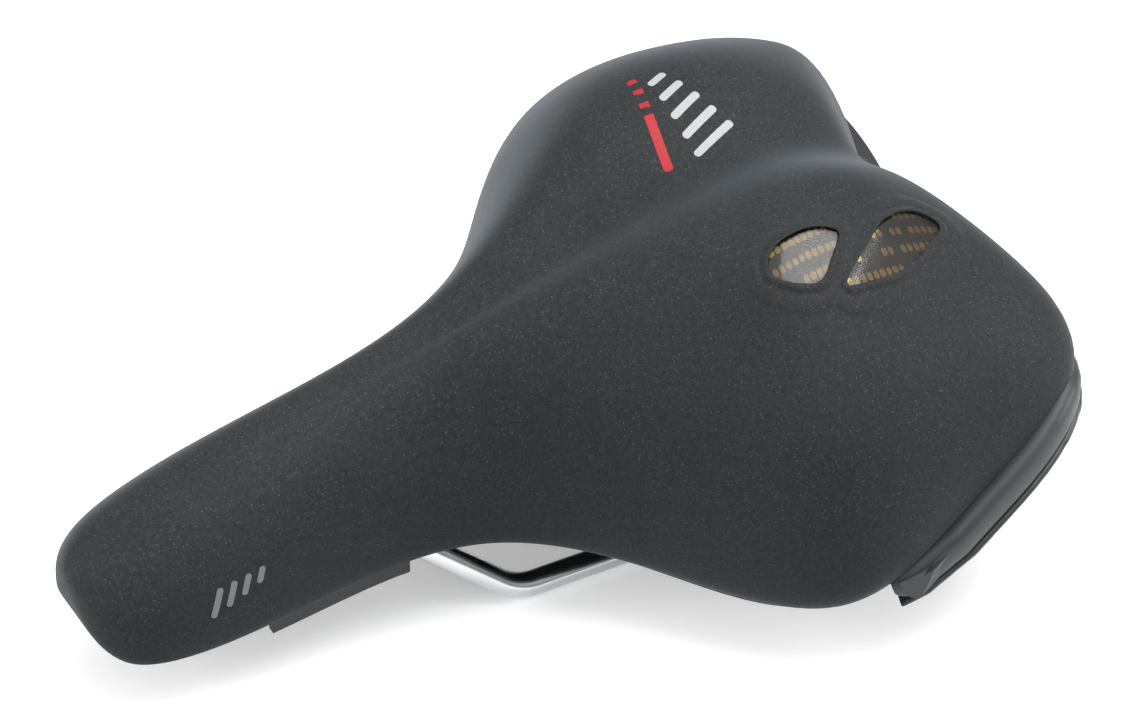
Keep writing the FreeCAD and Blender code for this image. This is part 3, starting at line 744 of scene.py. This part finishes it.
def cover_finish():
    """Soft-touch skin: matt, cool at grazing angles, with tiny light specks and painted shade in
    the grain's low spots.
    """
    finish, tree, shader, place = new_finish(
        "soft_touch_skin", Specular_IOR_Level=0.13, Sheen_Weight=0.2, Sheen_Roughness=0.4,
        Sheen_Tint=(0.72, 0.86, 1.0, 1.0))
    marks = use_group(tree, grain_group(), {
        "Place": place, "Scale": 2600.0, "Speck share": 0.30})
    dusty = use_group(tree, dust_group(), {"Place": place, "Amount": 0.16})["Mask"]
    tone = colours().cover
    body = mix_colour(tree, marks["Tone"], rgba(tone, 0.9), rgba(tone, 1.1))
    # the colour follows the grain's height: painted shade in its low spots and painted light on its
    # high spots
    relief_shade = remap(tree, marks["Height"], 0.36, 0.64, 0.62, 1.38)
    relief_shade = add_node(tree, "ShaderNodeCombineColor", {
        "Red": relief_shade, "Green": relief_shade, "Blue": relief_shade}).outputs["Color"]
    body = mix_colour(tree, 1.0, body, relief_shade, "MULTIPLY")
    body = mix_colour(tree, dusty, body, rgba([c * 0.8 + 0.02 for c in tone]))
    body = mix_colour(tree, maths(tree, "MULTIPLY", marks["Specks"], 0.34), body,
                      (0.22, 0.235, 0.25, 1.0))
    tree.links.new(body, shader.inputs["Base Color"])
    tree.links.new(remap(tree, marks["Tone"], 0.0, 1.0, 0.53, 0.61), shader.inputs["Roughness"])
    set_relief(tree, shader, marks["Height"], 0.6, 0.00006)
    return finish


def pane_finish():
    """Smoked clear film, smooth and glossy, a little cloudy."""
    finish, tree, shader, place = new_finish(
        "smoked_film", Coat_Weight=0.6, Coat_Roughness=0.05, Specular_IOR_Level=0.6)
    cloud = noise(tree, place, 240.0, 3.0)
    body = mix_colour(tree, cloud, (0.016, 0.014, 0.012, 1.0), (0.030, 0.026, 0.020, 1.0))
    tree.links.new(body, shader.inputs["Base Color"])
    tree.links.new(remap(tree, cloud, 0.3, 0.7, 0.10, 0.18), shader.inputs["Roughness"])
    tree.links.new(remap(tree, cloud, 0.3, 0.7, 0.30, 0.38), shader.inputs["Alpha"])
    finish.surface_render_method = "BLENDED"
    return finish


def print_finish():
    """Dark film with rows of small gold drops."""
    finish, tree, shader, place = new_finish("gold_print_film", Specular_IOR_Level=0.5)
    mask = use_group(tree, dash_group(), {"Place": place})["Mask"]
    flake = noise(tree, place, 2600.0, 2.0)
    gold = mix_colour(tree, flake, rgba(colours().gold, 0.75), rgba(colours().gold, 1.25))
    body = mix_colour(tree, mask, (0.020, 0.017, 0.013, 1.0), gold)
    tree.links.new(body, shader.inputs["Base Color"])
    tree.links.new(maths(tree, "MULTIPLY", mask, 0.7), shader.inputs["Metallic"])
    tree.links.new(remap(tree, mask, 0.0, 1.0, 0.30, 0.36), shader.inputs["Roughness"])
    return finish


def gel_finish():
    """Amber-black gel with small trapped bubbles."""
    finish, tree, shader, place = new_finish(
        "soft_gel", Subsurface_Weight=0.2, Subsurface_Radius=(0.004, 0.003, 0.002))
    dots = add_node(tree, "ShaderNodeTexVoronoi", {"Vector": place, "Scale": 700.0})
    bubble = remap(tree, dots.outputs["Distance"], 0.16, 0.10)
    body = mix_colour(tree, bubble, (0.05, 0.04, 0.03, 1.0), (0.16, 0.14, 0.11, 1.0))
    tree.links.new(body, shader.inputs["Base Color"])
    tree.links.new(remap(tree, bubble, 0.0, 1.0, 0.22, 0.10), shader.inputs["Roughness"])
    set_relief(tree, shader, bubble, 0.3, 0.0001)
    return finish


def foam_finish():
    """Grey open-cell foam, with painted shade in the pits of its cells."""
    finish, tree, shader, place = new_finish("cell_foam", Specular_IOR_Level=0.2)
    cells = add_node(tree, "ShaderNodeTexVoronoi", {"Vector": place, "Scale": 1300.0})
    depth = cells.outputs["Distance"]
    # the cells' pits, low in the bump, are painted darker: painted shade in the pits
    body = mix_colour(tree, depth, (0.05, 0.05, 0.052, 1.0), (0.13, 0.13, 0.135, 1.0))
    tree.links.new(body, shader.inputs["Base Color"])
    tree.links.new(remap(tree, depth, 0.0, 1.0, 0.95, 0.8), shader.inputs["Roughness"])
    set_relief(tree, shader, depth, 0.8, 0.0003)
    return finish


def ink_finish(name, colour, metallic):
    """Thin printed ink with a slightly uneven surface, painted darker in its low spots as shade."""
    finish, tree, shader, place = new_finish(name, Specular_IOR_Level=0.4)
    marks = use_group(tree, grain_group(), {
        "Place": place, "Scale": 2600.0, "Speck share": 0.2})
    # the colour follows the relief's height: painted shade in its low spots and painted light on
    # its high spots
    body = mix_colour(tree, marks["Height"], rgba(colour, 0.8), rgba(colour, 1.15))
    tree.links.new(body, shader.inputs["Base Color"])
    tree.links.new(maths(tree, "MULTIPLY", marks["Tone"], metallic), shader.inputs["Metallic"])
    tree.links.new(remap(tree, marks["Tone"], 0.0, 1.0, 0.38, 0.5), shader.inputs["Roughness"])
    set_relief(tree, shader, marks["Height"], 0.4, 0.00004)
    return finish


def dress(piece, finish):
    piece.data.materials.clear()
    piece.data.materials.append(finish)


# ---- operators, one for each group of pieces ----

class SADDLE_OT_cover(bpy.types.Operator):
    """Make the moulded cover with its two windows, their lips and the panes' finish"""
    bl_idname = "saddle.cover"
    bl_label = "Cover and windows"

    def execute(self, context):
        size = sizes()
        panes = [pane_outline("window_front"), pane_outline("window_rear")]
        gap, rise, width = 0.32, size.lip_rise / MM, size.lip_width / MM

        def near_panes(points):
            return np.min([outline_distance(points, pane) for pane in panes], axis=0)

        def lips(points):
            """Lift of the lips and of the soft contour round both windows."""
            lift = np.zeros(len(points))
            close = (np.abs(points[:, 0] - GEL_X) < 24) & (np.abs(points[:, 1] - GEL_Y) < 36)
            close &= points[:, 2] > 80
            away = near_panes(points[close])
            bead = np.clip(1 - ((away - gap - 0.5 * width) / (0.62 * width)) ** 2, 0, 1)
            valley = np.exp(-((away - gap - 1.55 * width) / (0.45 * width)) ** 2)
            share = np.clip((6.8 - away) / 1.8, 0, 1)
            contour = share * share * (3 - 2 * share)
            lift[close] = rise * bead ** 1.2 - 0.16 * valley + 0.30 * contour
            return lift

        def openings(points):
            away = np.full(len(points), 9.0)
            close = (np.abs(points[:, 0] - GEL_X) < 24) & (np.abs(points[:, 1] - GEL_Y) < 36)
            close &= points[:, 2] > 80
            away[close] = near_panes(points[close]) - gap
            return away

        cover = seat_layer("seat_cover", 0.0, size.skin / MM, size.cell / MM,
                           size.fine_cell / MM, lips, [openings])
        smooth(cover, 50.0)
        dress(cover, cover_finish())
        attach(cover, "seat")
        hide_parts("cover_skin")
        for name in ("window_front", "window_rear"):
            dress(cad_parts[name], pane_finish())
        dress(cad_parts["print_film"], print_finish())
        return {"FINISHED"}


class SADDLE_OT_padding(bpy.types.Operator):
    """Make the foam under the cover and the two gel pads let into it"""
    bl_idname = "saddle.padding"
    bl_label = "Foam and gel"

    def execute(self, context):
        cell = 3.0
        foam = seat_layer("foam_core", 1.5, 6.5, cell, cell, None, [
            lambda points, s=side: np.maximum(oval_distance(points, s) - 0.3,
                                              GEL_LOW_Z - points[:, 2])
            for side in (1, -1)])
        smooth(foam)
        dress(foam, foam_finish())
        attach(foam, "seat")
        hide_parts("foam_pad")
        for side, name in ((1, "left"), (-1, "right")):
            gel = seat_layer("gel_cushion_" + name, 2.0, 6.0, cell, cell, None, [
                lambda points, s=side: np.minimum(-oval_distance(points, s) - 0.2,
                                                  points[:, 2] - GEL_LOW_Z)])
            smooth(gel)
            dress(gel, gel_finish())
            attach(gel, "seat")
            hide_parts("gel_pad_" + name)
        return {"FINISHED"}


class SADDLE_OT_bumper(bpy.types.Operator):
    """Make the wrap-round bumper's bead and the lip below it"""
    bl_idname = "saddle.bumper"
    bl_label = "Rear bumper"

    def execute(self, context):
        out = sizes().bead_out / MM
        bead = [(-1.0, 6.7), (0.4, 8.0), (2.4, 8.2), (0.73 * out, 7.7), (0.98 * out, 6.0),
                (out + 0.2, 3.0), (out, 0.6), (0.9 * out, -0.5), (3.0, -0.7), (-1.0, -0.7)]
        lip = [(-0.5, -0.6), (4.0, -0.6), (out, -0.9), (out + 0.5, -1.7), (out + 0.2, -2.7),
               (4.5, -3.2), (-0.5, -3.2)]
        parts = (("bumper_bead", bead, 5.0, (), "bumper_plastic", 0.46),
                 ("bumper_lip", lip, 5.0, ("bumper_strip",), "bumper_gloss", 0.27))
        for name, profile, end, stood_for, slot, rough in parts:
            band = swept_band(name, profile, 0.0, end)
            apply_modifier(band, "SUBSURF", levels=2, render_levels=2)
            smooth(band, 60.0)
            dress(band, moulded_finish(name + "_rubber", colours().bumper, rough, 3200.0,
                                       0.00003, 0.12, True, Specular_IOR_Level=0.42,
                                       Coat_Weight=0.12, Coat_Roughness=0.3))
            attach(band, "seat")
            if stood_for:
                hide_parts(*stood_for)
        dress(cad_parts["rear_bumper"], moulded_finish(
            "bumper_plate", colours().bumper, 0.5, 2200.0, 0.00004))
        return {"FINISHED"}


class SADDLE_OT_marks(bpy.types.Operator):
    """Print plain bars on the right wing and the nose's left side"""
    bl_idname = "saddle.marks"
    bl_label = "Printed marks"

    def execute(self, context):
        inks = {"grey": ink_finish("grey_ink", colours().grey_mark, 0.0),
                "silver": ink_finish("silver_ink", (0.20, 0.21, 0.22), 0.3),
                "red": ink_finish("red_ink", colours().red_mark, 0.0)}
        # name, ink, middle (x, y, z), size, turn, and the way it is pressed on
        bars = []
        for number in range(5):
            bars.append(("wing_bar_%d" % (number + 1), "grey",
                         (-8.0 - 5.6 * number, 47.5 - 1.1 * number, 120.0),
                         (2.2, 15.0 - 2.2 * number), 22.0, "down"))
        bars.append(("wing_red_bar", "red", (-19.5, 35.0, 120.0), (31.0, 2.6), -10.0, "down"))
        for number in range(4):
            bars.append(("nose_bar_%d" % (number + 1), "silver",
                         (60.0, -114.0 + 4.2 * number, 31.0 + 1.4 * number),
                         (1.7, 8.5 - 1.3 * number), 20.0, "across"))
        cover = bpy.data.objects["seat_cover"]
        for name, ink, middle, size, turn, way in bars:
            deselect_all()
            bpy.ops.mesh.primitive_plane_add(
                size=1.0, location=Vector(middle) * MM,
                rotation=(0.0, 0.0, math.radians(turn)) if way == "down" else
                (math.radians(90.0), math.radians(turn), math.radians(90.0)))
            bar = bpy.context.object
            bar.name = bar.data.name = name
            bar.scale = (size[0] * MM, size[1] * MM, 1.0)
            settle(bar)
            bpy.ops.object.mode_set(mode="EDIT")
            bpy.ops.mesh.select_all(action="SELECT")
            bpy.ops.mesh.bevel(offset=0.45 * min(size) * MM, segments=5, affect="VERTICES")
            bpy.ops.mesh.select_all(action="SELECT")
            bpy.ops.mesh.quads_convert_to_tris()
            bpy.ops.mesh.subdivide(number_cuts=5)
            bpy.ops.object.mode_set(mode="OBJECT")
            apply_modifier(
                bar, "SHRINKWRAP", target=cover, wrap_method="PROJECT",
                wrap_mode="ABOVE_SURFACE", offset=INK_RISE,
                use_project_x=way == "across", use_project_z=way == "down",
                use_negative_direction=True, use_positive_direction=False)
            smooth(bar, 60.0)
            dress(bar, inks[ink])
            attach(bar, "seat")
        return {"FINISHED"}


class SADDLE_OT_springs(bpy.types.Operator):
    """Make the two ribbed elastomers between the shoes and the base"""
    bl_idname = "saddle.springs"
    bl_label = "Elastomers"

    def execute(self, context):
        rubber = moulded_finish("spring_rubber", (0.020, 0.020, 0.021), 0.55, 2400.0, 0.00004,
                                0.3, True)
        ribs = sizes().spring_ribs
        for side in ("left", "right"):
            node = "elastomer_" + side
            low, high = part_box(node)
            middle, tall = (low + high) / 2, high.z - low.z
            radius = (high.x - low.x) / 2
            deselect_all()
            bpy.ops.mesh.primitive_cylinder_add(
                vertices=72, radius=radius, depth=tall, end_fill_type="NOTHING",
                location=middle)
            spring = bpy.context.object
            spring.name = spring.data.name = "spring_" + side
            settle(spring)
            bpy.ops.object.mode_set(mode="EDIT")
            bpy.ops.mesh.select_all(action="DESELECT")
            mesh = bmesh.from_edit_mesh(spring.data)
            for edge in mesh.edges:
                edge.select = abs(edge.verts[0].co.z - edge.verts[1].co.z) > 0.5 * tall
            bmesh.update_edit_mesh(spring.data)
            bpy.ops.mesh.subdivide(number_cuts=8 * ribs - 1)
            bpy.ops.object.mode_set(mode="OBJECT")
            for vert in spring.data.vertices:
                share = (vert.co.z - low.z) / tall
                wave = 0.5 - 0.5 * math.cos(2 * math.pi * ribs * share)
                tuck = 0.80 + 0.20 * math.sqrt(wave) if 0.001 < share < 0.999 else 0.86
                vert.co.x = middle.x + (vert.co.x - middle.x) * tuck
                vert.co.y = middle.y + (vert.co.y - middle.y) * tuck
            apply_modifier(spring, "SOLIDIFY", thickness=0.0038, offset=-1.0,
                           use_even_offset=False)
            smooth(spring, 50.0)
            dress(spring, rubber)
            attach(spring, "seat")
            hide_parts(node)
            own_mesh(spring)
        return {"FINISHED"}


class SADDLE_OT_chassis(bpy.types.Operator):
    """Give the rail, the shoes, the base and the fasteners their finishes"""
    bl_idname = "saddle.chassis"
    bl_label = "Rail and base"

    def execute(self, context):
        moulding = colours().moulding
        shoe = moulded_finish("shoe_plastic", moulding, 0.48, 1800.0, 0.00006, 0.3)
        base = moulded_finish("base_plastic_grain", moulding, 0.52, 1500.0, 0.00008, 0.35)
        nylon = moulded_finish("bush_nylon_grain", (0.50, 0.49, 0.45), 0.42, 1600.0, 0.00003)
        wire = metal_finish("plated_wire", colours().wire, 0.16, 1500.0, 0.000006)
        zinc = metal_finish("zinc_steel", (0.52, 0.53, 0.54), 0.34, 2200.0)
        brass = metal_finish("turned_brass", (0.72, 0.52, 0.22), 0.3, 2600.0)
        finishes = {
            "rail_wire": wire, "nose_bush": nylon, "nose_clip": shoe, "nose_clip_screws": zinc,
            "rail_shoe_left": shoe, "rail_shoe_right": shoe, "shoe_grub_screws": zinc,
            "elastomer_bolt_left": zinc, "elastomer_bolt_right": zinc, "bolt_washers": zinc,
            "insert_left": brass, "insert_right": brass, "base_shell": base,
            "bumper_screws": zinc}
        for node, finish in finishes.items():
            dress(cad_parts[node], finish)
        return {"FINISHED"}


class SADDLE_OT_stage(bpy.types.Operator):
    """Set up the floor, the soft lights and the camera"""
    bl_idname = "saddle.stage"
    bl_label = "Stage"

    def execute(self, context):
        scene, studio = context.scene, context.scene.saddle_studio
        deselect_all()
        bpy.ops.mesh.primitive_plane_add(size=12.0, location=(0, 0, CAD_LOW.z))
        floor = context.object
        floor.name = floor.data.name = "studio_floor"
        finish, tree, shader, place = new_finish("pale_floor", Roughness=0.9,
                                                 Specular_IOR_Level=0.1)
        cloud = noise(tree, place, 9.0, 3.0)
        tree.links.new(mix_colour(tree, cloud, (0.90, 0.90, 0.90, 1.0), (0.92, 0.92, 0.92, 1.0)),
                       shader.inputs["Base Color"])
        shader.inputs["Emission Color"].default_value = (1.0, 1.0, 1.0, 1.0)
        shader.inputs["Emission Strength"].default_value = 0.36
        seen_from_below = add_node(tree, "ShaderNodeNewGeometry").outputs["Backfacing"]
        tree.links.new(maths(tree, "SUBTRACT", 1.0, seen_from_below), shader.inputs["Alpha"])
        dress(floor, finish)
        floor.visible_diffuse = False
        world = bpy.data.worlds.new("studio_surroundings")
        world.use_nodes = True
        backdrop = world.node_tree.nodes["Background"]
        backdrop.inputs["Color"].default_value = (1.0, 1.0, 1.0, 1.0)
        way = add_node(world.node_tree, "ShaderNodeTexCoord").outputs["Generated"]
        height = add_node(world.node_tree, "ShaderNodeSeparateXYZ", {"Vector": way}).outputs["Z"]
        tree = world.node_tree
        tree.links.new(remap(tree, height, 0.0, 0.9, 0.22 * studio.world, 1.5 * studio.world),
                       backdrop.inputs["Strength"])
        scene.world = world
        # name, place, aim, width, depth, share of the key's power
        lights = (("top_light", (0.35, 0.45, 1.6), (0, 0, 0.05), 1.2, 0.9, 1.3),
                  ("nose_light", (-0.1, -1.8, 0.8), (0, 0, 0.05), 0.9, 0.9, 1.2),
                  ("tail_light", (0.9, 1.5, 0.7), (0, 0, 0.05), 0.9, 0.9, 1.1))
        for name, spot, aim, width, depth, share in lights:
            bpy.ops.object.light_add(type="AREA", location=spot)
            light = context.object
            light.name = light.data.name = name
            light.data.shape = "RECTANGLE"
            light.data.size, light.data.size_y = width, depth
            light.data.energy = studio.key * share
            light.rotation_euler = (Vector(aim) - Vector(spot)).to_track_quat("-Z", "Y").to_euler()
        bpy.ops.object.camera_add()
        camera = context.object
        camera.name = camera.data.name = "studio_camera"
        place, aim = Vector(studio.camera_place), Vector(studio.camera_aim)
        turn = (aim - place).to_track_quat("-Z", "Y").to_matrix().to_4x4()
        roll = Matrix.Rotation(studio.camera_roll, 4, "Z")
        camera.matrix_world = Matrix.Translation(place) @ turn @ roll
        camera.data.lens = studio.lens
        camera.data.sensor_width = 36.0
        camera.data.clip_end = 30.0
        scene.camera = camera
        scene.view_settings.view_transform = "Standard"
        return {"FINISHED"}


class SADDLE_PT_panel(bpy.types.Panel):
    """Lists the saddle's settings and the operators that make it"""
    bl_idname = "SADDLE_PT_panel"
    bl_label = "Saddle"
    bl_space_type = "VIEW_3D"
    bl_region_type = "UI"
    bl_category = "Saddle"

    def draw(self, context):
        for group in (context.scene.saddle_sizes, context.scene.saddle_colours,
                      context.scene.saddle_studio):
            column = self.layout.column(align=True)
            for key in group.bl_rna.properties.keys():
                if key not in ("rna_type", "name"):
                    column.prop(group, key)
        for operator in OPERATORS:
            self.layout.operator(operator.bl_idname)


SETTINGS = (SaddleSizes, SaddleColours, SaddleStudio)
OPERATORS = (SADDLE_OT_cover, SADDLE_OT_padding, SADDLE_OT_bumper, SADDLE_OT_marks,
             SADDLE_OT_springs, SADDLE_OT_chassis, SADDLE_OT_stage)


def register():
    for cls in SETTINGS + OPERATORS + (SADDLE_PT_panel,):
        bpy.utils.register_class(cls)
    bpy.types.Scene.saddle_sizes = PointerProperty(type=SaddleSizes)
    bpy.types.Scene.saddle_colours = PointerProperty(type=SaddleColours)
    bpy.types.Scene.saddle_studio = PointerProperty(type=SaddleStudio)


def unregister():
    del bpy.types.Scene.saddle_studio
    del bpy.types.Scene.saddle_colours
    del bpy.types.Scene.saddle_sizes
    for cls in reversed(SETTINGS + OPERATORS + (SADDLE_PT_panel,)):
        bpy.utils.unregister_class(cls)


def main():
    register()
    bpy.ops.saddle.cover()
    bpy.ops.saddle.padding()
    bpy.ops.saddle.bumper()
    bpy.ops.saddle.marks()
    bpy.ops.saddle.springs()
    bpy.ops.saddle.chassis()
    bpy.ops.saddle.stage()
    deselect_all()


if __name__ == "__main__":
    main()
